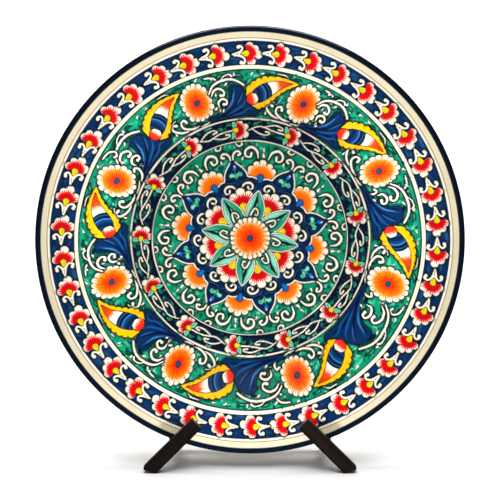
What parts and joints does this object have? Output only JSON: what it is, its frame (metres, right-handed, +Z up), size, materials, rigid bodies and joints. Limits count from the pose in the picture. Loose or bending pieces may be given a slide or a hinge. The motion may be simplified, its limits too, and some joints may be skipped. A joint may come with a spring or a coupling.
{
  "type": "painted ceramic plate on folding easel",
  "caption": "Round painted ceramic plate with a deep well, standing on a dark wooden easel whose crossed legs and rear prop fold, with the plate lifting off.",
  "frame": {"origin": "middle of the object's bounding box, on the floor it stands on", "axes": "+Z up, the plate faces -Y and leans back, +X to the right of a viewer in front"},
  "size_m": [0.3, 0.1072, 0.3076],
  "materials": {
    "painted_glaze": "hand painted under a clear gloss glaze",
    "stained_wood": "near-black stain, satin",
    "steel": "dull zinc"
  },
  "bodies": {
    "hub": {"hub_block": "stained_wood", "pivot_bolt": "steel", "pivot_spacer": "steel", "pivot_washer": "steel", "pivot_nut": "steel", "left_stop_peg": "stained_wood", "right_stop_peg": "stained_wood", "prop_pin": "steel"},
    "left_leg": {"left_front_leg": "stained_wood", "left_ledge": "stained_wood", "left_rear_slat": "stained_wood"},
    "right_leg": {"right_front_leg": "stained_wood", "right_ledge": "stained_wood", "right_rear_slat": "stained_wood"},
    "prop": {"prop_leg": "stained_wood", "left_prop_washer": "steel", "right_prop_washer": "steel"},
    "dish": {"plate": "painted_glaze"}
  },
  "joints": [
    {"name": "left_fold", "type": "hinge", "parent": "hub", "child": "left_leg", "pos_m": [0, -0.03505, 0.07061], "axis": [0, -0.9903, 0.1392], "range_deg": [0, 28]},
    {"name": "right_fold", "type": "hinge", "parent": "hub", "child": "right_leg", "pos_m": [0, -0.03505, 0.07061], "axis": [0, -0.9903, 0.1392], "range_deg": [-28, 0]},
    {"name": "prop_fold", "type": "hinge", "parent": "hub", "child": "prop", "pos_m": [0, 0.02214, 0.04641], "axis": [1, 0, 0], "range_deg": [-36, 0]},
    {"name": "plate_lift", "type": "slide", "parent": "hub", "child": "dish", "axis": [0, 0.1392, 0.9903], "range_m": [0, 0.16]}
  ],
  "couplings": [
    {"joint": "right_fold", "follows": "left_fold", "ratio": -1}
  ]
}
